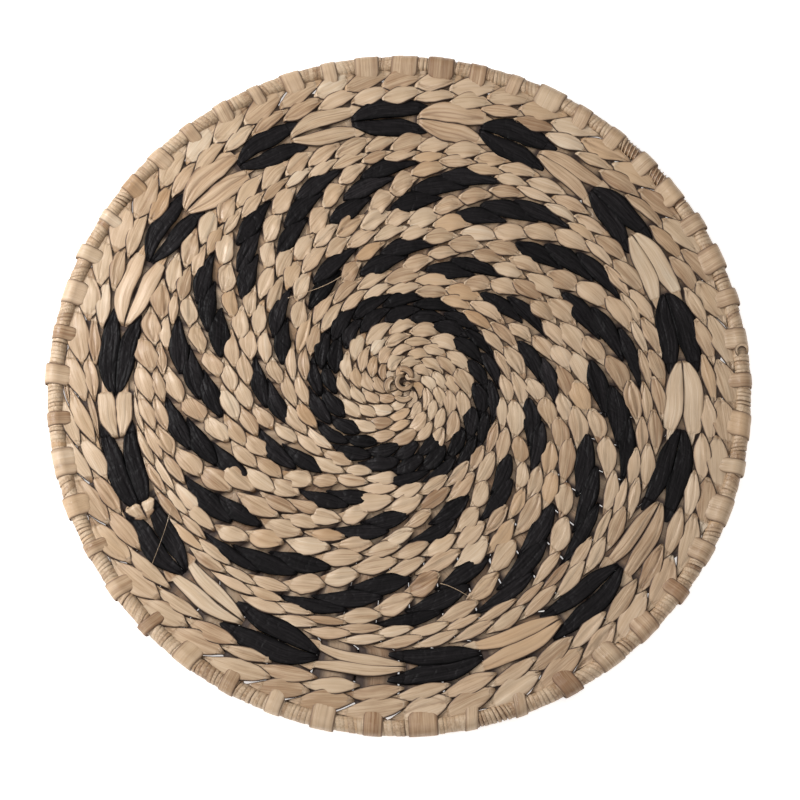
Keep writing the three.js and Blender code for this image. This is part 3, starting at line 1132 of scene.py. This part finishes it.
def black_material(name):
    """Husk strip dyed black: wrinkled along its length, with small glossy flecks, and painted shade on
    its flanks.
    """
    n = Nodes(name)
    fibres = n.noise(n.place(60.0, 1500.0, 17.0), 4.0, 0.65)
    wrinkles = n.ridges(n.noise(n.place(35.0, 220.0, 9.0), 2.0, 0.5))
    cross = n.ridges(n.noise(n.place(130.0, 140.0, 13.0), 2.0, 0.5))
    tone = n.total(
        n.math("MULTIPLY_ADD", n.attribute("shade"), 0.06, 0.35),
        n.range(fibres, 0.3, 0.75, -0.2, 0.4),
    )
    # Painted shade: pure black on its flanks
    flank = n.range(n.attribute("aside"), 0.6, 1.0, 0.0, 1.0)
    n.set("Base Color", n.mix(flank, n.ramp(tone, *DYED), BLACK_FLANK_SHADE))
    n.set("Roughness", n.range(fibres, 0.35, 0.65, 0.50, 0.38))
    n.set("Specular IOR Level", 0.09)
    height = n.total(
        n.math("MULTIPLY", wrinkles, 1.1),
        n.math("MULTIPLY", cross, 1.2),
        n.math("MULTIPLY", fibres, 0.2),
    )
    n.bump(height, 0.6, 0.35 * MM)
    return n.material


def make_materials():
    return {
        "natural": natural_material("natural_strand"),
        "black": black_material("black_strand"),
        "spoke": natural_material("spoke_strip", 0.06),
        "core": natural_material("core_cord", 0.42),
        "binding": natural_material("binding_strip", 0.05),
    }


# ---- stage


FLOOR_REACH = 6.0
FLOOR_DROP = 0.5 * MM  # under the CAD box, because the rim's wraps stand a little proud of it

# Name, place, size and power in watts
LIGHTS = (
    ("key", (-0.62, 0.30, 0.52), 0.35, 5.4),
    ("low", (-0.80, -0.30, 0.42), 0.12, 2.1),
    ("fill", (0.4, -0.6, 2.2), 2.4, 9.2),
)
WORLD_STRENGTH = 0.4

CAMERA_DISTANCE = 1.9
CAMERA_ELEVATION = math.radians(75)
CAMERA_TARGET = (0.4 * MM, -6.7 * MM, MID)
WIDTH_SEEN = 0.431  # at the target
SENSOR_WIDTH = 36  # in millimetres, as is the lens


def add_floor():
    """A plain white floor, which gives off a little light so that it comes out white."""
    mesh = bpy.data.meshes.new("floor")
    sides = ((-1, -1), (1, -1), (1, 1), (-1, 1))
    corners = [(FLOOR_REACH * x, FLOOR_REACH * y, 0) for x, y in sides]
    mesh.from_pydata(corners, [], [(0, 1, 2, 3)])
    floor = bpy.data.objects.new("floor", mesh)
    floor.location.z = CAD_BOX[0][2] - FLOOR_DROP
    bpy.context.scene.collection.objects.link(floor)
    n = Nodes("floor")
    n.set("Base Color", (0.9, 0.9, 0.9, 1.0))
    n.set("Roughness", 0.9)
    n.set("Emission Color", (1.0, 1.0, 1.0, 1.0))
    n.set("Emission Strength", 0.6)
    mesh.materials.append(n.material)


def add_light(name, place, size, power):
    """A round lamp that faces the pad's middle."""
    light = bpy.data.lights.new(name, "AREA")
    light.shape = "DISK"
    light.size = size
    light.energy = power
    lamp = bpy.data.objects.new(name, light)
    lamp.location = place
    lamp.rotation_euler = (-Vector(place)).to_track_quat("-Z", "Y").to_euler()
    bpy.context.scene.collection.objects.link(lamp)


def add_world():
    """Even white light from all round."""
    world = bpy.data.worlds.new("studio")
    world.use_nodes = True
    background = world.node_tree.nodes["Background"]
    background.inputs[0].default_value = (1.0, 1.0, 1.0, 1.0)
    background.inputs[1].default_value = WORLD_STRENGTH
    bpy.context.scene.world = world


def add_camera():
    """Looks down at the pad from 75 degrees above its plane."""
    camera = bpy.data.cameras.new("camera")
    camera.sensor_width = SENSOR_WIDTH
    camera.lens = SENSOR_WIDTH * CAMERA_DISTANCE / WIDTH_SEEN
    camera.clip_end = 50
    target = Vector(CAMERA_TARGET)
    away = Vector((0, -math.cos(CAMERA_ELEVATION), math.sin(CAMERA_ELEVATION)))
    eye = bpy.data.objects.new("camera", camera)
    eye.location = target + CAMERA_DISTANCE * away
    eye.rotation_euler = (target - eye.location).to_track_quat("-Z", "Y").to_euler()
    bpy.context.scene.collection.objects.link(eye)
    bpy.context.scene.camera = eye


def main():
    add_camera()
    for light in LIGHTS:
        add_light(*light)
    add_world()
    add_floor()
    bpy.context.scene.view_settings.view_transform = "Standard"
    materials = make_materials()
    add_knot(materials)
    add_weave(materials)
    add_spokes(materials)
    add_rim(materials)


main()
